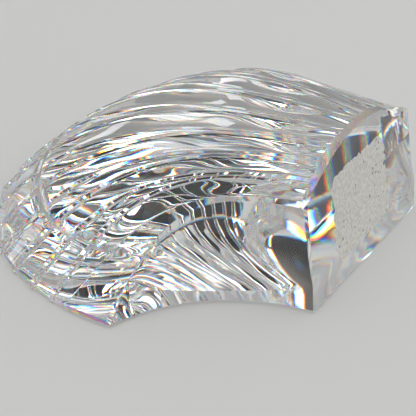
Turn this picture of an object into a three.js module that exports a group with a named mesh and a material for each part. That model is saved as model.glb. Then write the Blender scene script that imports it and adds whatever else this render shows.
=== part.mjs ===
// Cut crystal scallop shell paperweight: one solid piece of clear glass.
// Millimetres, +Z up. The origin is the middle of the flat base, the straight hinge end
// faces +X, the fan spreads towards -X, and the shell is alike on both sides of Y = 0.
import * as THREE from 'three';
import { mergeVertices } from 'three/addons/utils/BufferGeometryUtils.js';

// Overall form
const RIM_WIDTH = 89;
const LENGTH = 72.8;
const HINGE_WIDTH = 45.7;
const HINGE_HEIGHT = 25.7;
const HINGE_CORNER_HEIGHT = 19.8;
const HINGE_DRAFT = THREE.MathUtils.degToRad(8.4);
const HINGE_CHAMFER = 0.8;
const RIM_WALL = 1.2;
const RIM_CHAMFER = 0.8;
const RIM_CHAMFER_LENGTH = 4;
const CROWN_POWER = 3.4;
const SHOULDER_DROP = 3.4;
const SHOULDER_FADE = 8;

// Hollow flanks between the rim corners and the hinge corners
const BASE_HOLLOW = 6;
const CROWN_HOLLOW = 12.5;
const HOLLOW_FADE = 3;
const CREASE_LOW = 2.2;
const CREASE_SWEEP = 18;
const CREASE_LOW_AT = 0.42;
const CREASE_POWER = 4;
const CREASE_FADE = 30;
const SCOOP_POWER = 3;

// Flutes run from the hinge to the rim. A bar of uncut glass stands on each side of a flute,
// and from the fork on the bars part to hold a leaf-shaped flute between neighbours. The higher
// the flatness, the flatter a flute's bottom and the steeper its sides.
const FLUTES = 9;
const FLUTE_DEPTH = 0.5;
const FLUTE_FLATNESS = 8;
const FLUTE_FULL_WIDTH = 4;
const FLUTE_STOP = 1.8;
const FLUTE_STOP_SLOPE = 0.5;
const BAR_WIDTH = 0.8;
const BAR_SPREAD = 1.25;
const LEAF_SLOT = 0.6;
const FORK_AT = 0.34;
const END_PANEL_ANGLE = 10.8;
const END_PANEL_FORK_AT = 0.27;
const END_PANEL_POWER = 1.6;

// Mitre cut that crosses the bars near the rim and runs out at the flanks
const MITRE_INSET = 9.6;
const MITRE_SWEEP = 5;
const MITRE_SWEEP_FADE = 6;
const MITRE_WIDTH = 2.8;
const MITRE_DEPTH = 1.1;

// Facets
const FLUTE_STEPS = 4;
const PANEL_STEPS = 3;
const SCOOP_STEPS = 5;
const LENGTH_STEPS = 30;
const NORMAL_STEP = 1e-3;

const RIM_RADIUS = RIM_WIDTH / 2;
const HINGE_X = LENGTH / 2;
const RIM_CENTRE_X = RIM_RADIUS - LENGTH / 2;
const CORNER_RIM = new THREE.Vector3(RIM_CENTRE_X, -RIM_RADIUS, 0);
const CORNER_HINGE = new THREE.Vector3(HINGE_X, -HINGE_WIDTH / 2, 0);
const CHORD = CORNER_RIM.clone().sub(CORNER_HINGE);
const INWARD = new THREE.Vector3(CHORD.y, -CHORD.x, 0).normalize();
const MITRE_AT = 1 - MITRE_INSET / LENGTH;
const MITRE_HALF = MITRE_WIDTH / 2 / LENGTH;

const { lerp } = THREE.MathUtils;
const clamp01 = (value) => THREE.MathUtils.clamp(value, 0, 1);
const bow = (v) => 4 * v * (1 - v);

// Smooth crown before any cutting: u runs across from flank to flank, v from hinge to rim.
function crownPoint(u, v) {
  const side = 2 * u - 1;
  const angle = Math.PI * u;
  const arch = HINGE_CORNER_HEIGHT + (HINGE_HEIGHT - HINGE_CORNER_HEIGHT) * (1 - side * side);
  const shoulder = SHOULDER_DROP * bow(v) * Math.pow(Math.abs(side), SHOULDER_FADE);
  const z = RIM_WALL + (arch - RIM_WALL) * (1 - Math.pow(v, CROWN_POWER)) - shoulder;
  const hingeX = HINGE_X - arch * Math.tan(HINGE_DRAFT);
  const hingeY = (HINGE_WIDTH / 2) * side;
  const rimX = RIM_CENTRE_X - RIM_RADIUS * Math.sin(angle);
  const rimY = -RIM_RADIUS * Math.cos(angle);
  const hollow = CROWN_HOLLOW * bow(v) * Math.pow(Math.abs(side), HOLLOW_FADE);
  const x = lerp(hingeX, rimX, v) + INWARD.x * hollow;
  const y = lerp(hingeY, rimY, v) - Math.sign(side) * INWARD.y * hollow;
  return new THREE.Vector3(x, y, z);
}

function crownNormal(u, v) {
  const u0 = Math.max(u - NORMAL_STEP, 0);
  const v0 = Math.max(v - NORMAL_STEP, 0);
  const across = crownPoint(Math.min(u + NORMAL_STEP, 1), v).sub(crownPoint(u0, v));
  const along = crownPoint(u, Math.min(v + NORMAL_STEP, 1)).sub(crownPoint(u, v0));
  return along.cross(across).normalize().negate();
}

// Place along the fan of a row of facets. Rows sweep back with the mitre towards the flanks.
function alongAt(u, row) {
  const share = Math.min(row / MITRE_AT, (1 - row) / (1 - MITRE_AT));
  const sweep = (MITRE_SWEEP / LENGTH) * Math.pow(Math.abs(2 * u - 1), MITRE_SWEEP_FADE);
  return row - sweep * share;
}

// Width of the crown across the fan, which turns millimetres into steps of u.
const rowWidth = (row) => lerp(HINGE_WIDTH, Math.PI * RIM_RADIUS, row);

// The crown's edge is cut back at the hinge corners, and more and more towards the rim corners.
function rimChamfer(row) {
  const fromCorner = (1 - alongAt(0, row)) * CHORD.length();
  return RIM_CHAMFER * clamp01(1 - fromCorner / RIM_CHAMFER_LENGTH);
}

const edgeInset = (row) => (row === 0 ? HINGE_CHAMFER : rimChamfer(row));

// Middle of a bar. Bars leave the hinge in pairs and part at the fork, and the end panels'
// bars keep close to the flanks for longer.
function barMiddle(bar, row) {
  if (bar >= FLUTES) return 1 - barMiddle(2 * FLUTES - 1 - bar, row);
  const outermost = bar === 0;
  const pair = Math.floor((bar + 1) / 2);
  const outward = bar % 2 === 0 ? 1 : -1;
  const spread = Math.pow(bar / (FLUTES - 0.5), BAR_SPREAD);
  const rimAngle = END_PANEL_ANGLE + (90 - END_PANEL_ANGLE) * spread;
  const parting = outermost ? BAR_WIDTH : (BAR_WIDTH + LEAF_SLOT) / 2;
  const hingeU = pair / FLUTES + (outward * parting) / rowWidth(row);
  const fork = outermost ? END_PANEL_FORK_AT : FORK_AT;
  const open = clamp01((row - fork) / (1 - fork));
  const share = outermost ? Math.pow(open, END_PANEL_POWER) : 1 - Math.pow(1 - open, 2);
  return lerp(hingeU, rimAngle / 180, share);
}

// Depth of a flute at a share of the way across it, where 1 is its full depth.
const fluteProfile = (share) => 1 - Math.pow(Math.abs(2 * share - 1), FLUTE_FLATNESS);

// Columns across a row of the crown: the bars' edges and the steps of each panel between them,
// which are closest at the bars.
function columnsAt(row) {
  const half = BAR_WIDTH / 2 / rowWidth(row);
  const columns = [];
  let start = 0;
  for (let bar = 0; bar <= 2 * FLUTES; bar += 1) {
    const last = bar === 2 * FLUTES;
    const end = last ? 1 : barMiddle(bar, row) - half;
    const plain = bar === 0 || last;
    const steps = plain ? PANEL_STEPS : FLUTE_STEPS;
    const width = (end - start) * rowWidth(row);
    const depth = plain ? 0 : FLUTE_DEPTH * Math.min(1, width / FLUTE_FULL_WIDTH);
    for (let step = 0; step <= steps; step += 1) {
      const share = (1 - Math.cos((Math.PI * step) / steps)) / 2;
      columns.push({ place: lerp(start, end, share), depth: depth * fluteProfile(share) });
    }
    start = end + 2 * half;
  }
  return columns;
}

// Flutes stop square a little way in from the hinge edge.
function fluteOpening(row) {
  return clamp01((row * LENGTH - FLUTE_STOP) / FLUTE_STOP_SLOPE);
}

function cutDepth(u, row, fluteDepth) {
  const runOut = clamp01((Math.min(u, 1 - u) * 180) / END_PANEL_ANGLE);
  const mitre = MITRE_DEPTH * runOut * (1 - Math.abs(row - MITRE_AT) / MITRE_HALF);
  return Math.max(fluteDepth * fluteOpening(row), mitre, 0);
}

function crownRow(row) {
  const inset = edgeInset(row) / rowWidth(row);
  return columnsAt(row).map(({ place, depth }) => {
    const u = lerp(inset, 1 - inset, place);
    const v = alongAt(u, row);
    return crownPoint(u, v).addScaledVector(crownNormal(u, v), -cutDepth(u, row, depth));
  });
}

function lengthRows() {
  const chamferEnd = HINGE_CHAMFER / CHORD.length();
  const stops = [FLUTE_STOP / LENGTH, (FLUTE_STOP + FLUTE_STOP_SLOPE) / LENGTH];
  const mitre = [MITRE_AT - MITRE_HALF, MITRE_AT, MITRE_AT + MITRE_HALF];
  const features = [0, chamferEnd, ...stops, ...mitre, 1];
  const spacing = 1 / LENGTH_STEPS;
  const isClear = (row) => features.every((feature) => Math.abs(feature - row) > spacing / 2);
  const even = Array.from({ length: LENGTH_STEPS }, (_, i) => i * spacing).filter(isClear);
  return [...features, ...even].sort((a, b) => a - b);
}

// Triangles are collected corner by corner and merged into one closed mesh at the end.
class Skin {
  constructor() {
    this.corners = [];
  }

  triangle(a, b, c) {
    const flat = a.distanceTo(b) === 0 || b.distanceTo(c) === 0 || c.distanceTo(a) === 0;
    if (flat) return;
    for (const p of [a, b, c]) this.corners.push(p.x, p.y, p.z);
  }

  // Joins two lines of points, with the outside on the left hand going from first to second.
  strip(first, second) {
    for (let i = 0; i + 1 < first.length; i += 1) {
      this.triangle(first[i], second[i], second[i + 1]);
      this.triangle(first[i], second[i + 1], first[i + 1]);
    }
  }

  // Joins each line of points to the next.
  strips(lines) {
    for (let i = 0; i + 1 < lines.length; i += 1) this.strip(lines[i], lines[i + 1]);
  }

  // Closes a flat outline from a point inside it.
  fan(centre, outline) {
    outline.forEach((p, i) => this.triangle(centre, p, outline[(i + 1) % outline.length]));
  }

  geometry() {
    const geometry = new THREE.BufferGeometry();
    geometry.setAttribute('position', new THREE.Float32BufferAttribute(this.corners, 3));
    const merged = mergeVertices(geometry);
    merged.computeVertexNormals();
    return merged;
  }
}

const mirrored = (p) => new THREE.Vector3(p.x, -p.y, p.z);
const onBase = (p) => p.clone().setZ(0);

// Top of the near flank: the crown's edge, or the lower edge of the rim corner's chamfer.
function flankTop(row, crownEdge) {
  const chamfer = rimChamfer(row);
  if (chamfer === 0) return crownEdge;
  const top = crownPoint(0, alongAt(0, row));
  return top.setZ(top.z - Math.min(chamfer, top.z / 2));
}

// Foot of the near flank: a hollow arc from the hinge corner's chamfer to the rim corner.
function flankFoot(row, top) {
  if (row === 0) return CORNER_HINGE.clone().setY(CORNER_HINGE.y + HINGE_CHAMFER);
  if (row === 1) return onBase(top);
  const v = alongAt(0, row);
  return CORNER_HINGE.clone().lerp(CORNER_RIM, v).addScaledVector(INWARD, BASE_HOLLOW * bow(v));
}

// The flank stands upright from its foot to a crease and is scooped in from there to its top.
function flankColumn(row, top) {
  const v = alongAt(0, row);
  const foot = flankFoot(row, top);
  const height = CREASE_LOW + CREASE_SWEEP * (v - CREASE_LOW_AT) ** 2;
  const upright = 1 - Math.pow(1 - v, CREASE_FADE);
  const lean = Math.pow(height / top.z, lerp(1, CREASE_POWER, upright));
  const crease = foot.clone().lerp(top, lean).setZ(height);
  const column = [foot];
  for (let step = 0; step <= SCOOP_STEPS; step += 1) {
    const rise = step / SCOOP_STEPS;
    const inset = lerp(rise, 1 - Math.pow(1 - rise, SCOOP_POWER), upright);
    const below = rise < 1 && height < top.z;
    column.push(below ? crease.clone().lerp(top, inset).setZ(lerp(height, top.z, rise)) : top);
  }
  return column;
}

function shellGeometry() {
  const rows = lengthRows();
  const crown = rows.map(crownRow);
  const nearEdge = crown.map((points) => points[0]);
  const farEdge = nearEdge.map(mirrored);
  crown.forEach((points, i) => points.at(-1).copy(farEdge[i]));
  const nearColumns = rows.map((row, i) => flankColumn(row, flankTop(row, nearEdge[i])));
  const nearLevels = nearColumns[0].map((_, level) => nearColumns.map((column) => column[level]));
  const farLevels = nearLevels.map((points) => points.map(mirrored));
  const rim = [nearLevels.at(-1).at(-1), ...crown.at(-1), farLevels.at(-1).at(-1)];
  const rimFoot = rim.map(onBase);

  const skin = new Skin();
  skin.strips(crown.toReversed());
  skin.strips([...nearLevels, nearEdge]);
  skin.strips([farEdge, ...farLevels.toReversed()]);
  skin.strip(rimFoot, rim);

  const nearSide = nearLevels.map((points) => points[0]);
  const farSide = nearSide.map(mirrored);
  const hingeOutline = [...farSide, ...crown[0].slice(1, -1).toReversed(), ...nearSide.toReversed()];
  const hingeMiddle = nearSide[0].clone().lerp(farSide.at(-1), 0.5);
  skin.fan(hingeMiddle, hingeOutline);

  const [nearFoot] = nearLevels;
  const [farFoot] = farLevels;
  const baseMiddle = new THREE.Vector3(RIM_CENTRE_X, 0, 0);
  const baseOutline = [...nearFoot.slice(0, -1), ...rimFoot, ...farFoot.slice(0, -1).toReversed()];
  skin.fan(baseMiddle, baseOutline);
  return skin.geometry();
}

const crystal = new THREE.MeshStandardMaterial({
  name: 'clear_crystal',
  color: 0xf2f5f7,
  roughness: 0.03,
  metalness: 0,
});

const paperweight = new THREE.Group();
const shell = new THREE.Mesh(shellGeometry(), crystal);
shell.name = 'crystal_shell';
paperweight.add(shell);

export default paperweight;
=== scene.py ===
"""Cut crystal scallop shell paperweight on a pale studio floor."""
import logging
import math
from dataclasses import dataclass, field
from enum import Enum
from typing import Any

import bpy
import numpy as np
import numpy.typing as npt
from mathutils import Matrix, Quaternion, Vector


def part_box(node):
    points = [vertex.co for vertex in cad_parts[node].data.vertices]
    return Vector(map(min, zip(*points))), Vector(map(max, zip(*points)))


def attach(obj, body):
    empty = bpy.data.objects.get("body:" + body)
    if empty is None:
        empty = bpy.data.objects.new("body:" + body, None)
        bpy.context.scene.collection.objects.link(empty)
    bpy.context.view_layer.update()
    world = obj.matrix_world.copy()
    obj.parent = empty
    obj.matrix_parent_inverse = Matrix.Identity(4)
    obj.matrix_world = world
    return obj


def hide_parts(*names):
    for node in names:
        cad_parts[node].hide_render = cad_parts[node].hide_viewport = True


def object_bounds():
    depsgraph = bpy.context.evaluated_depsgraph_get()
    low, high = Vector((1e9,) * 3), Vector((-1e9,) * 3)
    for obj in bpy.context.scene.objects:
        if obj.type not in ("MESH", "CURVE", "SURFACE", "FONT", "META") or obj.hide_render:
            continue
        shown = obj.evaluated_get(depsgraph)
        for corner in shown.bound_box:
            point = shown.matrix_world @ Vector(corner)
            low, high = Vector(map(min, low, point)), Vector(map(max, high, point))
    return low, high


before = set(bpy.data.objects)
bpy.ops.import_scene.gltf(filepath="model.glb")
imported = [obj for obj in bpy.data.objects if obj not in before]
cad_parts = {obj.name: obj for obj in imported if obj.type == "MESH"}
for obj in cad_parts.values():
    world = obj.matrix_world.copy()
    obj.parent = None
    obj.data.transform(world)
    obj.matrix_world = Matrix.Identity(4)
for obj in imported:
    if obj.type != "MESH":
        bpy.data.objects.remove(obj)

LOG = logging.getLogger("crystal_shell")
CAD_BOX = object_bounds()

Array = npt.NDArray[np.float64]
Pair = tuple[float, float]
Point = tuple[float, float, float]
Color = tuple[float, float, float, float]
Setting = Any
SocketValue = Any
Sockets = bpy.types.NodeInputs | bpy.types.NodeOutputs

# Factors that mirror points from the near flank to the far one, and that drop them to the floor.
TO_FAR_SIDE = np.array([1, -1, 1])
TO_FLOOR = np.array([1, 1, 0])
# Place of the near flank across the fan.
NEAR_FLANK = np.zeros(1)


def lerp(start: Array | float, end: Array | float, share: Array | float) -> Array:
    """Return the value that lies share of the way from start to end."""
    return start + (end - start) * share


def bow(share: Array | float) -> Array:
    """Return a parabola that is 0 at both ends and 1 in the middle."""
    return 4 * share * (1 - share)


def stacked(x: Array, y: Array, z: Array) -> Array:
    """Return points from their three coordinates, with the last axis over x, y and z."""
    return np.stack(np.broadcast_arrays(x, y, z), axis=-1)


class RayKind(Enum):
    """Kinds of ray that the crystal treats apart, each valued by its Light Path output."""

    CAMERA = "Is Camera Ray"
    DIFFUSE = "Is Diffuse Ray"
    SHADOW = "Is Shadow Ray"


@dataclass(frozen=True)
class Term:
    """A number in a shader tree that takes part in Python expressions.

    Attributes:
        shading: The tree that the number belongs to.
        socket: The output socket that gives it.
    """

    shading: "Shading"
    socket: bpy.types.NodeSocket

    def __add__(self, other: "Term | float") -> "Term":
        """Return the sum."""
        return self.shading.math("ADD", self, other)

    def __sub__(self, other: "Term | float") -> "Term":
        """Return the difference."""
        return self.shading.math("SUBTRACT", self, other)

    def __mul__(self, other: "Term | float") -> "Term":
        """Return the product."""
        return self.shading.math("MULTIPLY", self, other)

    def __truediv__(self, other: "Term | float") -> "Term":
        """Return the quotient."""
        return self.shading.math("DIVIDE", self, other)

    def __radd__(self, other: float) -> "Term":
        """Return the sum with a plain number in front."""
        return self.shading.math("ADD", other, self)

    def __rsub__(self, other: float) -> "Term":
        """Return the difference from a plain number."""
        return self.shading.math("SUBTRACT", other, self)

    def __rmul__(self, other: float) -> "Term":
        """Return the product with a plain number in front."""
        return self.shading.math("MULTIPLY", other, self)

    def __rtruediv__(self, other: float) -> "Term":
        """Return a plain number divided by this one."""
        return self.shading.math("DIVIDE", other, self)

    def power(self, exponent: float) -> "Term":
        """Return the size of the number raised to a power."""
        size = self.shading.math("ABSOLUTE", self, 0.0)
        return self.shading.math("POWER", size, exponent)

    def ramp(self, low: float, high: float) -> "Term":
        """Turn the number into a smooth step.

        Args:
            low: Where the step starts.
            high: Where it ends.

        Returns:
            0 up to low, 1 from high on, and a smooth rise between them.
        """
        settings = {"interpolation_type": "SMOOTHSTEP"}
        values = {"Value": self, "From Min": low, "From Max": high}
        return self.shading.node("ShaderNodeMapRange", settings, values, "Result")


class Shading:
    """Builds the node tree of one material, or of the world."""

    def __init__(self, owner: bpy.types.Material | bpy.types.World) -> None:
        """Start with an empty tree.

        Args:
            owner: The new material or world.
        """
        owner.use_nodes = True
        self.owner = owner
        self.tree = owner.node_tree
        self.tree.nodes.clear()

    def add(
        self,
        kind: str,
        settings: dict[str, Setting] | None = None,
        values: dict[str | int, SocketValue] | None = None,
    ) -> bpy.types.Node:
        """Add a node.

        Args:
            kind: The node's type.
            settings: Its own settings, set before its sockets.
            values: Plain values or terms for its input sockets.

        Returns:
            The node.
        """
        node = self.tree.nodes.new(kind)
        for key, setting in (settings or {}).items():
            setattr(node, key, setting)
        for key, value in (values or {}).items():
            socket = self.found(node.inputs, key)
            if isinstance(value, Term):
                self.tree.links.new(value.socket, socket)
            else:
                socket.default_value = value
        return node

    def node(
        self,
        kind: str,
        settings: dict[str, Setting] | None = None,
        values: dict[str | int, SocketValue] | None = None,
        output: str | int = 0,
    ) -> Term:
        """Add a node for what it gives.

        Args:
            kind: The node's type.
            settings: Its own settings.
            values: Plain values or terms for its input sockets.
            output: The output socket that is wanted.

        Returns:
            The output socket as a term.
        """
        node = self.add(kind, settings, values)
        return Term(self, self.found(node.outputs, output))

    @staticmethod
    def found(sockets: Sockets, key: str | int) -> bpy.types.NodeSocket:
        """Find a socket of a node.

        Args:
            sockets: The node's inputs or outputs.
            key: The socket's place, its name, or its identifier, which tells sockets of one name apart.

        Returns:
            The socket.
        """
        if isinstance(key, int):
            return sockets[key]
        return next(socket for socket in sockets if key in (socket.identifier, socket.name))

    def math(self, operation: str, first: Term | float, second: Term | float) -> Term:
        """Return a Math node's result for two numbers."""
        return self.node("ShaderNodeMath", {"operation": operation}, {0: first, 1: second})

    def coordinates(self) -> Term:
        """Return the piece's own coordinates in metres, or the world's direction."""
        return self.node("ShaderNodeTexCoord", output="Object")

    def axes(self) -> tuple[Term, Term, Term]:
        """Split the coordinates.

        Returns:
            Their x, y and z.
        """
        split = self.add("ShaderNodeSeparateXYZ", values={0: self.coordinates()})
        x, y, z = (Term(self, socket) for socket in split.outputs)
        return x, y, z

    def noise(self, scale: float, detail: float) -> Term:
        """Return soft noise from 0 to 1, with scale in cells per metre."""
        values = {"Vector": self.coordinates(), "Scale": scale, "Detail": detail}
        return self.node("ShaderNodeTexNoise", values=values, output="Fac")

    def ray(self, kind: RayKind) -> Term:
        """Return 1 for rays of one kind and 0 for others."""
        return self.node("ShaderNodeLightPath", output=kind.value)

    def mixed(self, factor: Term | float, first: Term, second: Term) -> Term:
        """Return one shader mixed with another by factor."""
        return self.node("ShaderNodeMixShader", values={0: factor, 1: first, 2: second})

    def mixed_color(self, factor: Term, first: SocketValue, second: SocketValue) -> Term:
        """Return one colour mixed with another by factor."""
        values = {"Factor_Float": factor, "A_Color": first, "B_Color": second}
        return self.node("ShaderNodeMix", {"data_type": "RGBA"}, values, "Result_Color")

    def finish(self, surface: Term) -> None:
        """Make a shader the surface of the material or world.

        Args:
            surface: The shader.
        """
        world = isinstance(self.owner, bpy.types.World)
        kind = "ShaderNodeOutputWorld" if world else "ShaderNodeOutputMaterial"
        self.add(kind, values={"Surface": surface})


@dataclass(frozen=True)
class SatinPatch:
    """Ground area of the hinge end, matt and a little pitted, with frayed edges and painted shade.

    Attributes:
        centre: Its middle on Y and Z.
        half_size: Half of its width and half of its height.
        squareness: Power of its rounded outline.
        outline: Values of the outline's formula between which the ground area ends.
        fray: How far noise moves those values up and down, from its lowest to its highest.
        fray_noise: Cells per metre and detail of that noise.
        depth: How far in from the hinge end's foot the area may lie.
        depth_edge: Width of the step where that depth ends.
        grain_noise: Cells per metre and detail of the ground grain.
        grain_range: Grain values that give the hollows' colour and the high spots' colour.
        pit_noise: Cells per metre and detail of the noise that places the pitting.
        pit_range: Values of that noise at which the pitting starts and is full.
        bump_strength: Strength of the grain's relief.
        bump_depth: Depth of the grain's relief.
        light: Colour of the ground glass on the grain's high spots.
        hollow_tone_and_shade: Mottled tone of the grain's hollows, darkened there as painted shade.
        pit_shade: Near-black painted into the pitting as shade, for the dark that clear glass shows
            there.
        roughness: Roughness of the ground glass.
    """

    centre: Pair = (-0.0010, 0.0124)
    half_size: Pair = (0.0113, 0.0081)
    squareness: float = 9
    outline: Pair = (0.9, 1.0)
    fray: float = 2.4
    fray_noise: Pair = (600, 4.0)
    depth: float = 0.0055
    depth_edge: float = 1e-5
    grain_noise: Pair = (1700, 6.0)
    grain_range: Pair = (0.35, 0.65)
    pit_noise: Pair = (1300, 0.5)
    pit_range: Pair = (0.74, 0.77)
    bump_strength: float = 0.3
    bump_depth: float = 0.0003
    light: Color = (0.92, 0.91, 0.86, 1)
    hollow_tone_and_shade: Color = (0.74, 0.73, 0.68, 1)
    pit_shade: Color = (0.10, 0.10, 0.09, 1)
    roughness: float = 0.65

    def mask(self, shading: Shading) -> Term:
        """Mark the ground area.

        Args:
            shading: The tree of the crystal.

        Returns:
            1 on the ground area and 0 on polished glass.
        """
        x, y, z = shading.axes()
        across = ((y - self.centre[0]) / self.half_size[0]).power(self.squareness)
        up = ((z - self.centre[1]) / self.half_size[1]).power(self.squareness)
        fray = (shading.noise(*self.fray_noise) - 0.5) * self.fray
        inside = 1 - (across + up + fray).ramp(*self.outline)
        inner = CAD_BOX[1][0] - self.depth
        return inside * x.ramp(inner - self.depth_edge, inner)

    def shader(self, shading: Shading) -> Term:
        """Make the ground glass.

        Args:
            shading: The tree of the crystal.

        Returns:
            The ground glass as a shader.
        """
        grain = shading.noise(*self.grain_noise)
        # Mottled tone with painted shade: darker where the grain's relief is low, lighter where it is
        # high.
        grain_tone_and_shade = shading.mixed_color(grain.ramp(*self.grain_range), self.hollow_tone_and_shade, self.light)
        # Painted shade: the pitting is coloured near-black, standing for the dark seen through clear
        # glass.
        pit_shade_mask = shading.noise(*self.pit_noise).ramp(*self.pit_range)
        color = shading.mixed_color(pit_shade_mask, grain_tone_and_shade, self.pit_shade)
        relief = {"Height": grain, "Strength": self.bump_strength, "Distance": self.bump_depth}
        bump = shading.node("ShaderNodeBump", values=relief)
        values = {"Base Color": color, "Roughness": self.roughness, "Normal": bump}
        return shading.node("ShaderNodeBsdfPrincipled", values=values)


@dataclass(frozen=True)
class ClearCrystal:
    """Polished lead crystal, which spreads light a little into its colours.

    Attributes:
        color: Colour of the glass.
        roughness: Roughness of its polish.
        index: Refractive index of the glass.
        spread: Difference of index between red and violet light at the first surface.
        bands: Number of colours that the light is spread into.
        band_reach: How far each primary colour reaches over the bands, as a share of them.
        primaries: Places of red, green and blue among the bands.
        shadow_tint: Share of the light that each surface lets through to the floor.
        patch: The ground area on the hinge end.
    """

    color: Color = (1, 1, 1, 1)
    roughness: float = 0.0
    index: float = 1.55
    spread: float = 0.06
    bands: int = 5
    band_reach: float = 0.45
    primaries: Point = (0.1, 0.5, 0.9)
    shadow_tint: float = 0.78
    patch: SatinPatch = SatinPatch()

    def material(self) -> bpy.types.Material:
        """Make the crystal.

        Returns:
            The material, with the ground area in it.
        """
        material = bpy.data.materials.new("clear_crystal")
        shading = Shading(material)
        plain = self.glass(shading, self.color, self.index)
        polished = shading.mixed(shading.ray(RayKind.CAMERA), plain, self.spectrum(shading))
        crystal = shading.mixed(self.patch.mask(shading), polished, self.patch.shader(shading))
        tint = (self.shadow_tint, self.shadow_tint, self.shadow_tint, 1)
        clear = shading.node("ShaderNodeBsdfTransparent", values={"Color": tint})
        lit = shading.mixed(shading.ray(RayKind.DIFFUSE), crystal, clear)
        shading.finish(shading.mixed(shading.ray(RayKind.SHADOW), lit, clear))
        return material

    def spectrum(self, shading: Shading) -> Term:
        """Make glass of all colours in equal shares, each with its own refractive index.

        Args:
            shading: The tree of the crystal.

        Returns:
            The shader, which is clear where the colours fall together.
        """
        places = np.linspace(0, 1, self.bands)
        gaps = np.abs(places[:, None] - np.array(self.primaries))
        strengths = np.clip(1 - gaps / self.band_reach, 0, 1)
        colors = strengths / strengths.mean(axis=0)
        indices = self.index + self.spread * (places - 0.5)
        blend = self.glass(shading, (*map(float, colors[0]), 1), float(indices[0]))
        for band in range(1, self.bands):
            glass = self.glass(shading, (*map(float, colors[band]), 1), float(indices[band]))
            blend = shading.mixed(1 / (band + 1), blend, glass)
        return blend

    def glass(self, shading: Shading, color: Color, index: float) -> Term:
        """Return the glass shader of one colour."""
        values = {"Color": color, "Roughness": self.roughness, "IOR": index}
        return shading.node("ShaderNodeBsdfGlass", values=values)


@dataclass(frozen=True)
class PaleFloor:
    """Matt pale studio floor.

    Attributes:
        color: Colour of the floor.
        roughness: Roughness of the floor.
    """

    color: Color = (0.76, 0.76, 0.75, 1)
    roughness: float = 0.9

    def material(self) -> bpy.types.Material:
        """Make the floor's finish.

        Returns:
            The material.
        """
        material = bpy.data.materials.new("pale_floor")
        shading = Shading(material)
        values = {"Base Color": self.color, "Roughness": self.roughness}
        shading.finish(shading.node("ShaderNodeBsdfPrincipled", values=values))
        return material


@dataclass(frozen=True)
class StudioSky:
    """Ring of tall soft panels, dim along the floor and brighter towards the ceiling.

    Attributes:
        color: Colour of the light.
        low: Its strength near the floor.
        high: A panel's strength near the ceiling.
        low_until: Height up to which it stays low, as the sine of its elevation.
        high_from: Height from which it is high, alike.
        front: Strength of the panels in front, as a share of those at the back.
        front_reach: How far to the back and front that change takes, as a share of the way there.
        panels: Number of panels.
        gap: Strength between the panels, as a share of theirs.
        panel_edge: Softness of a panel's edges, as the sine of the turn that they take.
    """

    color: Color = (1.0, 1.0, 0.99, 1)
    low: float = 0.03
    high: float = 1.1
    low_until: float = 0.25
    high_from: float = 0.75
    front: float = 0.5
    front_reach: float = 0.5
    panels: int = 12
    gap: float = 0.15
    panel_edge: float = 0.15

    def world(self) -> bpy.types.World:
        """Make the light.

        Returns:
            The world that gives it.
        """
        world = bpy.data.worlds.new("studio_sky")
        shading = Shading(world)
        x, y, z = shading.axes()
        rise = z.ramp(self.low_until, self.high_from)
        depth = self.front + y.ramp(-self.front_reach, self.front_reach) * (1 - self.front)
        turn = shading.math("ARCTAN2", y, x) * self.panels
        panel = shading.math("SINE", turn, 0.0).ramp(-self.panel_edge, self.panel_edge)
        share = depth * (self.gap + panel * (1 - self.gap))
        strength = self.low + rise * share * (self.high - self.low)
        values = {"Color": self.color, "Strength": strength}
        shading.finish(shading.node("ShaderNodeBackground", values=values))
        return world


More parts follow.
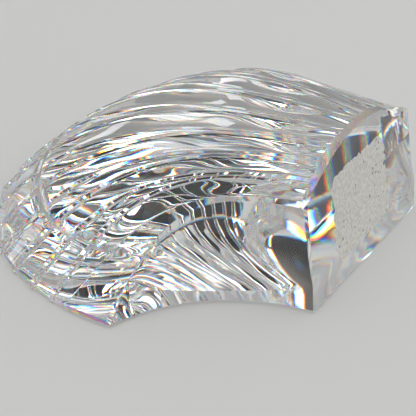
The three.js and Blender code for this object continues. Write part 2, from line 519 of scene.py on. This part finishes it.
@dataclass
class CrystalShell:
    """The shell: a fluted fan crown on hollow flanks, a straight hinge end and a flat base.

    A place across the fan runs from 0 at the near flank to 1 at the far one, and a place along it
    from 0 at the hinge to 1 at the rim. Rows are places along the fan's middle. Sizes are in metres
    and angles in radians.

    Attributes:
        node: The solid that the shell stands for.
        hinge_width: Width of the hinge end.
        hinge_corner_height: Height of the hinge end at its corners.
        hinge_draft: How far the hinge end leans back.
        hinge_chamfer: Chamfer of the hinge end's upright edges.
        rim_wall: Height of the wall at the rim.
        rim_chamfer: Chamfer of the rim's corners.
        rim_chamfer_length: How far that chamfer runs up a flank.
        crown_power: Power of the crown's fall from hinge to rim.
        shoulder_drop: How far the crown's edges sink between hinge and rim.
        shoulder_fade: Power by which that fades towards the middle.
        base_hollow: Depth of a flank's hollow in plan, at the base.
        crown_hollow: The same at the crown's edge.
        hollow_fade: Power by which the crown's hollow fades towards the middle.
        crease_low: Height of a flank's crease where it is lowest.
        crease_sweep: How fast the crease rises from there, by the square of the way along.
        crease_low_at: Place along the fan where the crease is lowest.
        crease_power: Power that keeps a flank upright below its crease.
        crease_fade: Power by which the crease sets in beside the hinge.
        scoop_power: Power of the scoop above the crease.
        flutes: Number of flutes at the hinge.
        flute_depth: Depth of a flute.
        flute_flatness: Power of a flat flute's section.
        flute_hollow: Share of a hollow section in a flute at the hinge.
        flute_hollow_end: Place along the fan where that share runs out.
        flute_full_width: Width from which a flute has its full depth.
        wave: Middling depth of the dimples of hand cutting, as a share of the flute's.
        wave_length: Distance from one dimple to the next.
        wave_shift: How far a flute's dimples lie from its neighbour's, as a share of that distance.
        flute_stop: Distance from the hinge at which flutes begin.
        flute_stop_slope: Length over which they reach their depth.
        bar_width: Width of a bar between flutes.
        leaf_slot: Gap between the two arms of a bar at the hinge.
        fork_at: Place along the fan where the arms part.
        end_panel_angle: Angle of an end panel at the rim.
        end_panel_fork: Place along the fan where an end panel starts to widen.
        end_panel_power: Power of that widening.
        bar_spread: Power by which the bars spread along the rim.
        mitre_inset: Distance of the mitre cut from the rim.
        mitre_sweep: How far the cut sweeps back at the flanks.
        mitre_sweep_fade: Power by which the sweep fades towards the middle.
        mitre_width: Width of the cut.
        mitre_depth: Depth of the cut.
        base_bevel: Bevel round the base.
        flute_steps: Steps of the mesh across a flute.
        panel_steps: Steps across an end panel.
        bar_steps: Steps across a bar.
        lower_steps: Steps up a flank to its crease.
        flank_steps: Steps up a flank above its crease.
        wall_steps: Steps up the rim's wall.
        row_spacing: Distance between the mesh's even rows.
        row_clearance: Share of that distance that even rows keep from a feature's row.
        seam: Distance under which points fall together.
        smooth_angle: Largest angle between faces that are shaded as one.
        normal_step: Step along and across the fan from which normals are taken.
        rim_width: Width across the rim, from the solid.
        length: Length from hinge to rim, from the solid.
        hinge_height: Height at the hinge's middle, from the solid.
    """

    node: str = "crystal_shell"
    hinge_width: float = 0.0457
    hinge_corner_height: float = 0.0198
    hinge_draft: float = math.radians(8.4)
    hinge_chamfer: float = 0.0008
    rim_wall: float = 0.0012
    rim_chamfer: float = 0.0008
    rim_chamfer_length: float = 0.004
    crown_power: float = 3.4
    shoulder_drop: float = 0.0034
    shoulder_fade: float = 8

    base_hollow: float = 0.0060
    crown_hollow: float = 0.0125
    hollow_fade: float = 3
    crease_low: float = 0.0022
    crease_sweep: float = 0.018
    crease_low_at: float = 0.42
    crease_power: float = 4
    crease_fade: float = 30
    scoop_power: float = 3

    flutes: int = 9
    flute_depth: float = 0.0005
    flute_flatness: float = 16
    flute_hollow: float = 0.6
    flute_hollow_end: float = 1.1
    flute_full_width: float = 0.004
    wave: float = 0.6
    wave_length: float = 0.022
    wave_shift: float = 0.38
    flute_stop: float = 0.0018
    flute_stop_slope: float = 0.0005
    bar_width: float = 0.0008
    leaf_slot: float = 0.0006
    fork_at: float = 0.34
    end_panel_angle: float = math.radians(10.8)
    end_panel_fork: float = 0.27
    end_panel_power: float = 1.6
    bar_spread: float = 1.25

    mitre_inset: float = 0.0096
    mitre_sweep: float = 0.0050
    mitre_sweep_fade: float = 6
    mitre_width: float = 0.0028
    mitre_depth: float = 0.0011

    base_bevel: float = 0.0003

    flute_steps: int = 20
    panel_steps: int = 10
    bar_steps: int = 2
    lower_steps: int = 3
    flank_steps: int = 24
    wall_steps: int = 2
    row_spacing: float = 0.0006
    row_clearance: float = 0.4
    seam: float = 1e-6
    smooth_angle: float = math.radians(30)
    normal_step: float = 1e-4

    rim_width: float = field(init=False)
    length: float = field(init=False)
    hinge_height: float = field(init=False)

    def __post_init__(self) -> None:
        """Take the overall sizes from the solid that this piece stands for."""
        low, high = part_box(self.node)
        self.rim_width = high[1] - low[1]
        self.length = 2 * high[0]
        self.hinge_height = high[2] - low[2]

    @property
    def rim_radius(self) -> float:
        """Radius of the fan's round rim."""
        return self.rim_width / 2

    @property
    def rim_centre_x(self) -> float:
        """Place of the rim's centre on X."""
        return self.rim_radius - self.length / 2

    @property
    def rim_corner(self) -> Array:
        """Near rim corner on the base."""
        return np.array([self.rim_centre_x, -self.rim_radius])

    @property
    def hinge_corner(self) -> Array:
        """Near hinge corner on the base."""
        return np.array([self.length / 2, -self.hinge_width / 2])

    @property
    def inward(self) -> Array:
        """Direction square to the near flank's chord, into the glass."""
        chord = self.rim_corner - self.hinge_corner
        return np.array([chord[1], -chord[0]]) / np.linalg.norm(chord)

    @property
    def chord(self) -> float:
        """Straight length of a flank, from hinge corner to rim corner."""
        return float(np.linalg.norm(self.rim_corner - self.hinge_corner))

    @property
    def mitre_at(self) -> float:
        """Row of the mitre cut's bottom."""
        return 1 - self.mitre_inset / self.length

    @property
    def mitre_half(self) -> float:
        """Half of the mitre cut's width, in rows."""
        return self.mitre_width / 2 / self.length

    def along(self, u: Array, row: Array) -> Array:
        """Sweep a row back at the flanks, as the mitre cut does.

        Args:
            u: Place across the fan.
            row: The row.

        Returns:
            Its place along the fan there.
        """
        share = np.minimum(row / self.mitre_at, (1 - row) / (1 - self.mitre_at))
        sweep = self.mitre_sweep / self.length * np.abs(2 * u - 1) ** self.mitre_sweep_fade
        return row - sweep * share

    def smooth_crown(self, u: Array, v: Array) -> Array:
        """Shape the crown before any cutting.

        Args:
            u: Place across the fan.
            v: Place along the fan.

        Returns:
            The points, with the last axis over x, y and z.
        """
        side = 2 * u - 1
        rise = self.hinge_height - self.hinge_corner_height
        arch = self.hinge_corner_height + rise * (1 - side**2)
        z = self.rim_wall + (arch - self.rim_wall) * (1 - v**self.crown_power)
        z = z - self.shoulder_drop * bow(v) * np.abs(side) ** self.shoulder_fade
        hinge_x = self.length / 2 - arch * math.tan(self.hinge_draft)
        hinge_y = self.hinge_width / 2 * side
        rim_x = self.rim_centre_x - self.rim_radius * np.sin(np.pi * u)
        rim_y = -self.rim_radius * np.cos(np.pi * u)
        hollow = self.crown_hollow * bow(v) * np.abs(side) ** self.hollow_fade
        x = lerp(hinge_x, rim_x, v) + self.inward[0] * hollow
        y = lerp(hinge_y, rim_y, v) - np.sign(side) * self.inward[1] * hollow
        return stacked(x, y, z)

    def crown_normal(self, u: Array, v: Array) -> Array:
        """Find which way the uncut crown faces.

        Args:
            u: Place across the fan.
            v: Place along the fan.

        Returns:
            The outward unit normals, with the last axis over x, y and z.
        """
        step = self.normal_step
        u_low, u_high = np.maximum(u - step, 0), np.minimum(u + step, 1)
        v_low, v_high = np.maximum(v - step, 0), np.minimum(v + step, 1)
        across = self.smooth_crown(u_high, v) - self.smooth_crown(u_low, v)
        along = self.smooth_crown(u, v_high) - self.smooth_crown(u, v_low)
        normal = np.cross(across, along)
        return normal / np.linalg.norm(normal, axis=-1, keepdims=True)

    def row_width(self, row: Array) -> Array:
        """Return the crown's width across the fan in a row."""
        return lerp(self.hinge_width, np.pi * self.rim_radius, row)

    def corner_chamfer(self, row: Array) -> Array:
        """Return how far the rim corners' chamfer cuts into the crown in a row."""
        from_corner = (1 - self.along(NEAR_FLANK, row)) * self.chord
        return self.rim_chamfer * np.clip(1 - from_corner / self.rim_chamfer_length, 0, 1)

    def bar_middle(self, bar: int, v: Array) -> Array:
        """Place the middle of a bar or of one of its arms.

        Args:
            bar: Its number, from the near flank.
            v: Place along the fan.

        Returns:
            Its place across the fan there.
        """
        if bar >= self.flutes:
            return 1 - self.bar_middle(2 * self.flutes - 1 - bar, v)
        pair = (bar + 1) // 2
        outward = 1 if bar % 2 == 0 else -1
        middle_bar = self.flutes - 0.5
        spread = (bar / middle_bar) ** self.bar_spread
        rim_angle = lerp(self.end_panel_angle, np.pi / 2, spread)
        parting = self.bar_width if bar == 0 else (self.bar_width + self.leaf_slot) / 2
        hinge_u = pair / self.flutes + outward * parting / self.row_width(v)
        fork = self.end_panel_fork if bar == 0 else self.fork_at
        opened = np.clip((v - fork) / (1 - fork), 0, 1)
        share = opened**self.end_panel_power if bar == 0 else 1 - (1 - opened) ** 2
        return lerp(hinge_u, rim_angle / np.pi, share)

    def columns(self, v: Array) -> tuple[Array, Array]:
        """Lay out the columns of the crown's mesh.

        Args:
            v: The rows' places along the fan.

        Returns:
            Place across the fan, and depth of flute, for each row and column.
        """
        width = self.row_width(v)
        half = self.bar_width / 2 / width
        places: list[Array] = []
        depths: list[Array] = []
        start = np.zeros_like(v)
        bars = 2 * self.flutes
        for bar in range(bars + 1):
            plain = bar in (0, bars)
            end = np.ones_like(v) if bar == bars else self.bar_middle(bar, v) - half
            steps = self.panel_steps if plain else self.flute_steps
            share = (1 - np.cos(np.linspace(0, np.pi, steps + 1)[None, :])) / 2
            span = (end - start) * width
            full = self.flute_depth * np.minimum(1, span / self.flute_full_width)
            depth = np.zeros_like(v) if plain else full
            places.append(lerp(start[:, None], end[:, None], share))
            depths.append(depth[:, None] * self.flute_profile(bar, share, v[:, None]))
            if bar < bars:
                inner = np.linspace(0, 1, self.bar_steps + 1)[None, 1:-1]
                places.append(end[:, None] + 2 * half[:, None] * inner)
                depths.append(np.zeros((len(v), inner.shape[1])))
            start = end + 2 * half
        return np.concatenate(places, axis=1), np.concatenate(depths, axis=1)

    def hand_wave(self, bar: int, v: Array) -> Array:
        """Return the share of a flute's depth by which the cutter's hand sank deeper at v."""
        turns = v * self.length / self.wave_length + bar * self.wave_shift
        return self.wave * (1 - v**2) * (1 + np.sin(2 * np.pi * turns))

    def flute_profile(self, bar: int, share: Array, v: Array) -> Array:
        """Shape a flute, which is hollow near the hinge and flat near the rim.

        Args:
            bar: The bar that the flute ends at.
            share: Place across the flute.
            v: Place along the fan.

        Returns:
            The depth there, as a share of the flute's own.
        """
        side = np.abs(2 * share - 1)
        hollow = self.flute_hollow * np.clip(1 - v / self.flute_hollow_end, 0, 1)
        even = 1 - lerp(side**self.flute_flatness, side**2, hollow)
        return even + self.hand_wave(bar, v) * (1 - side**2)

    def rows(self) -> Array:
        """Lay out the rows of the mesh.

        Returns:
            The rows, with one on each feature and even ones between them.
        """
        chamfer_end = self.hinge_chamfer / self.chord
        stop = self.flute_stop / self.length
        stop_end = stop + self.flute_stop_slope / self.length
        mitre = [self.mitre_at - self.mitre_half, self.mitre_at, self.mitre_at + self.mitre_half]
        features = np.array([0, chamfer_end, stop, stop_end, *mitre, 1])
        count = round(self.length / self.row_spacing)
        even = np.linspace(0, 1, count + 1)
        gap = np.abs(even[:, None] - features[None, :]).min(axis=1)
        return np.sort(np.concatenate([features, even[gap > self.row_clearance / count]]))

    def cut_depth(self, u: Array, row: Array, flute: Array) -> Array:
        """Find the depth that is cut from the crown.

        Args:
            u: Place across the fan.
            row: Row of the crown.
            flute: Depth of the flute there.

        Returns:
            The deeper of the flute and the mitre, which runs out at the flanks.
        """
        opening = np.clip((row * self.length - self.flute_stop) / self.flute_stop_slope, 0, 1)
        run_out = np.clip(np.minimum(u, 1 - u) * np.pi / self.end_panel_angle, 0, 1)
        mitre = self.mitre_depth * (1 - np.abs(row - self.mitre_at) / self.mitre_half)
        return np.maximum(np.maximum(flute * opening, mitre * run_out), 0)

    def crown_grid(self) -> Array:
        """Lay out the cut crown.

        Returns:
            Its points, with the hinge's row first.
        """
        rows = self.rows()
        place, flute = self.columns(rows)
        row = np.broadcast_to(rows[:, None], place.shape)
        inset = np.where(rows == 0, self.hinge_chamfer, self.corner_chamfer(rows))
        inset = (inset / self.row_width(rows))[:, None]
        u = lerp(inset, 1 - inset, place)
        v = self.along(u, row)
        depth = self.cut_depth(u, row, flute)
        points = self.smooth_crown(u, v) - self.crown_normal(u, v) * depth[..., None]
        points[:, -1] = points[:, 0] * TO_FAR_SIDE
        return points

    def flank_top(self, edge: Array) -> Array:
        """Lay out the near flank's top, which the rim corner's chamfer parts from the crown's edge.

        Args:
            edge: The crown's points along the flank, from hinge to rim.

        Returns:
            The top's points, alike.
        """
        rows = self.rows()
        chamfer = self.corner_chamfer(rows)
        corner = self.smooth_crown(NEAR_FLANK, self.along(NEAR_FLANK, rows))
        corner[:, 2] -= np.minimum(chamfer, corner[:, 2] / 2)
        return np.where(chamfer[:, None] > 0, corner, edge)

    def flank_grid(self, top: Array) -> Array:
        """Lay out the near flank, which stands upright to a crease and is scooped in above it.

        Args:
            top: The flank's top, from hinge to rim.

        Returns:
            The points, with the foot's row first.
        """
        v = self.along(NEAR_FLANK, self.rows())
        plan = lerp(self.hinge_corner, self.rim_corner, v[:, None])
        plan = plan + self.inward * (self.base_hollow * bow(v))[:, None]
        foot = stacked(plan[:, 0], plan[:, 1], np.zeros_like(v))
        foot[0, 1] += self.hinge_chamfer
        foot[-1] = top[-1] * TO_FLOOR
        height = self.crease_low + self.crease_sweep * (v - self.crease_low_at) ** 2
        height = np.minimum(height, top[:, 2])
        upright = 1 - (1 - v) ** self.crease_fade
        lean = (height / top[:, 2]) ** lerp(1, self.crease_power, upright)
        crease = lerp(foot, top, lean[:, None])
        crease[:, 2] = height
        lower = np.linspace(0, 1, self.lower_steps + 1)[:, None, None]
        rise = np.linspace(0, 1, self.flank_steps + 1)[1:, None]
        inset = lerp(rise, 1 - (1 - rise) ** self.scoop_power, upright)
        scoop = lerp(crease, top, stacked(inset, inset, rise))
        return np.concatenate([lerp(foot, crease, lower), scoop])

    def grids(self) -> tuple[Array, ...]:
        """Lay out every curved surface.

        Returns:
            Points in rows and columns of the crown, flanks, rim corners' chamfers and rim wall.
        """
        crown = self.crown_grid()
        top = self.flank_top(crown[:, 0])
        flank = self.flank_grid(top)
        chamfer = np.stack([top, crown[:, 0]])
        rim = np.concatenate([top[-1:], crown[-1], top[-1:] * TO_FAR_SIDE])
        up = np.linspace(0, 1, self.wall_steps + 1)[:, None, None]
        wall = lerp(rim * TO_FLOOR, rim, up)
        return crown, flank, flank * TO_FAR_SIDE, chamfer, chamfer * TO_FAR_SIDE, wall

    @staticmethod
    def add_surface(points: Array) -> bpy.types.Object:
        """Add a grid and lay its vertices on a surface.

        Args:
            points: The surface's points in rows and columns.

        Returns:
            The new object.
        """
        rows, columns = points.shape[:2]
        bpy.ops.mesh.primitive_grid_add(x_subdivisions=columns - 1, y_subdivisions=rows - 1, size=1)
        surface = bpy.context.object
        surface.data.vertices.foreach_set("co", points.reshape(-1))
        surface.data.update()
        return surface

    def build(self) -> bpy.types.Object:
        """Model the shell.

        Returns:
            The finished piece, at the origin.
        """
        bpy.ops.object.select_all(action="DESELECT")
        surfaces = [self.add_surface(grid) for grid in self.grids()]
        for surface in surfaces:
            surface.select_set(True)
        bpy.ops.object.join()
        shell = bpy.context.object
        shell.name = "crystal_shell_cut"
        shell.data.name = shell.name
        bpy.ops.object.mode_set(mode="EDIT")
        bpy.ops.mesh.select_all(action="SELECT")
        bpy.ops.mesh.remove_doubles(threshold=self.seam)
        self.close_ends(shell)
        self.bevel_base(shell)
        bpy.ops.mesh.select_all(action="SELECT")
        bpy.ops.mesh.normals_make_consistent(inside=False)
        bpy.ops.object.mode_set(mode="OBJECT")
        bpy.ops.object.shade_smooth_by_angle(angle=self.smooth_angle)
        return shell

    def feet(self, shell: bpy.types.Object) -> list[int]:
        """Return the numbers of the vertices that stand on the floor, in edit mode."""
        shell.update_from_editmode()
        return [vertex.index for vertex in shell.data.vertices if vertex.co.z < self.seam]

    @staticmethod
    def select_vertices(shell: bpy.types.Object, numbers: list[int]) -> None:
        """Select some vertices and nothing else.

        Args:
            shell: The shell, in edit mode.
            numbers: The vertices' numbers.
        """
        bpy.ops.mesh.select_mode(type="VERT")
        bpy.ops.mesh.select_all(action="DESELECT")
        bpy.ops.object.mode_set(mode="OBJECT")
        for number in numbers:
            shell.data.vertices[number].select = True
        bpy.ops.object.mode_set(mode="EDIT")

    def close_ends(self, shell: bpy.types.Object) -> None:
        """Close the hinge end and the base with one flat face each.

        Args:
            shell: The open shell, in edit mode.
        """
        feet = self.feet(shell)
        hinge_corners = sorted(feet, key=lambda number: -shell.data.vertices[number].co.x)[:2]
        self.select_vertices(shell, hinge_corners)
        bpy.ops.mesh.edge_face_add()
        bpy.ops.mesh.select_all(action="DESELECT")
        bpy.ops.mesh.select_non_manifold(
            extend=False,
            use_wire=True,
            use_boundary=True,
            use_multi_face=False,
            use_non_contiguous=False,
            use_verts=False,
        )
        bpy.ops.mesh.fill_holes(sides=0)

    def bevel_base(self, shell: bpy.types.Object) -> None:
        """Take the sharp edge off all round the base.

        Args:
            shell: The closed shell, in edit mode.
        """
        outline = self.feet(shell)
        bpy.ops.mesh.select_mode(type="FACE")
        bpy.ops.mesh.select_all(action="DESELECT")
        bpy.ops.object.mode_set(mode="OBJECT")
        for face in shell.data.polygons:
            face.select = face.center.z < self.seam
        bpy.ops.object.mode_set(mode="EDIT")
        bpy.ops.mesh.inset(thickness=self.base_bevel, depth=0)
        self.select_vertices(shell, outline)
        bpy.ops.transform.translate(value=(0, 0, self.base_bevel))

    def dress(self, shell: bpy.types.Object) -> None:
        """Give the shell its finish and tie it to the frame.

        Args:
            shell: The finished piece.
        """
        shell.data.materials.clear()
        shell.data.materials.append(ClearCrystal().material())
        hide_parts(self.node)
        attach(shell, "root")


@dataclass(frozen=True)
class Softbox:
    """One studio lamp with a soft face.

    Attributes:
        name: The lamp's name.
        place: Its middle, in metres.
        size: Width and height of its face, in metres.
        power: Its power in watts.
    """

    name: str
    place: Point
    size: Pair
    power: float

    def build(self, target: Vector) -> None:
        """Add the lamp.

        Args:
            target: The point that it is turned to.
        """
        bpy.ops.object.light_add(type="AREA", location=self.place)
        lamp = bpy.context.object
        lamp.name = self.name
        lamp.data.shape = "RECTANGLE"
        lamp.data.size, lamp.data.size_y = self.size
        lamp.data.energy = self.power
        lamp.rotation_euler = (target - lamp.location).to_track_quat("-Z", "Y").to_euler()


@dataclass(frozen=True)
class StripLights:
    """Slim upright lamps behind the shell, which draw fine lines of light in the glass.

    Attributes:
        count: Number of lamps.
        turns: Bearings of the first and the last lamp, in radians from +X towards +Y.
        reach: Distance of the lamps from the origin, in plan.
        height: Height of their middles over the floor.
        size: Width and height of a lamp's face.
        power: A lamp's power in watts.
    """

    count: int = 7
    turns: Pair = (math.radians(60), math.radians(180))
    reach: float = 0.8
    height: float = 0.15
    size: Pair = (0.04, 0.28)
    power: float = 0.08

    def lamps(self) -> list[Softbox]:
        """Place the lamps.

        Returns:
            The lamps, from the right to the left.
        """
        lamps: list[Softbox] = []
        for index, turn in enumerate(np.linspace(*self.turns, self.count)):
            place = (self.reach * math.cos(turn), self.reach * math.sin(turn), self.height)
            lamps.append(Softbox(f"strip_{index}", place, self.size, self.power))
        return lamps


@dataclass
class Studio:
    """Pale floor, soft lamps and the camera.

    Attributes:
        floor_size: Side of the floor.
        floor_gap: How far the floor lies under the shell's base.
        eye: Place of the camera.
        target: Point that the camera and the lamps are turned to.
        roll: Turn of the camera about its own view.
        lens: Focal length in millimetres.
        sensor: Width of the camera's sensor in millimetres.
        near_clip: Distance from which the camera sees.
        sky: Light from all round.
        lamps: Soft lamps.
        strips: Slim lamps behind the shell.
        bounces: How often light may bounce.
    """

    floor_size: float = 6.0
    floor_gap: float = 0.0002
    eye: Point = (0.14325, -0.27205, 0.16768)
    target: Point = (0.00253, 0.00148, 0.0)
    roll: float = math.radians(1.54)
    lens: float = 158.9
    sensor: float = 36.0
    near_clip: float = 0.01
    sky: StudioSky = StudioSky()
    lamps: tuple[Softbox, ...] = (
        Softbox("overhead_softbox", (0.00, 0.00, 1.10), (0.90, 0.90), 3.2),
        Softbox("back_left_softbox", (-0.45, 0.64, 0.45), (0.16, 0.16), 0.25),
        Softbox("back_softbox", (0.00, 0.78, 0.45), (0.16, 0.16), 0.25),
        Softbox("back_right_softbox", (0.45, 0.64, 0.45), (0.16, 0.16), 0.25),
        Softbox("left_softbox", (-0.78, 0.30, 0.40), (0.12, 0.12), 0.15),
        Softbox("right_softbox", (0.75, -0.10, 0.45), (0.50, 0.50), 1.2),
        Softbox("front_left_softbox", (-0.58, -0.52, 0.30), (0.36, 0.36), 0.45),
    )
    strips: StripLights = StripLights()
    bounces: int = 24

    def build(self) -> None:
        """Add the floor, lamps, world and camera."""
        bpy.ops.mesh.primitive_plane_add(size=self.floor_size, location=(0, 0, -self.floor_gap))
        floor = bpy.context.object
        floor.name = "studio_floor"
        floor.data.materials.append(PaleFloor().material())
        target = Vector(self.target)
        for lamp in (*self.lamps, *self.strips.lamps()):
            lamp.build(target)
        self.place_camera(target)
        scene = bpy.context.scene
        scene.world = self.sky.world()
        scene.view_settings.view_transform = "Standard"
        scene.cycles.max_bounces = self.bounces
        scene.cycles.glossy_bounces = self.bounces
        scene.cycles.transmission_bounces = self.bounces

    def place_camera(self, target: Vector) -> None:
        """Add the camera.

        Args:
            target: The point in the middle of its view.
        """
        bpy.ops.object.camera_add(location=self.eye)
        camera = bpy.context.object
        camera.name = "studio_camera"
        camera.data.lens = self.lens
        camera.data.sensor_width = self.sensor
        camera.data.clip_start = self.near_clip
        aim = (target - camera.location).to_track_quat("-Z", "Y")
        camera.rotation_euler = (aim @ Quaternion((0, 0, 1), self.roll)).to_euler()
        bpy.context.scene.camera = camera


def main() -> None:
    """Build the studio and the shell."""
    logging.basicConfig(level=logging.INFO)
    Studio().build()
    shell = CrystalShell()
    piece = shell.build()
    shell.dress(piece)
    LOG.info("%s: %d faces", piece.name, len(piece.data.polygons))


if __name__ == "__main__":
    main()
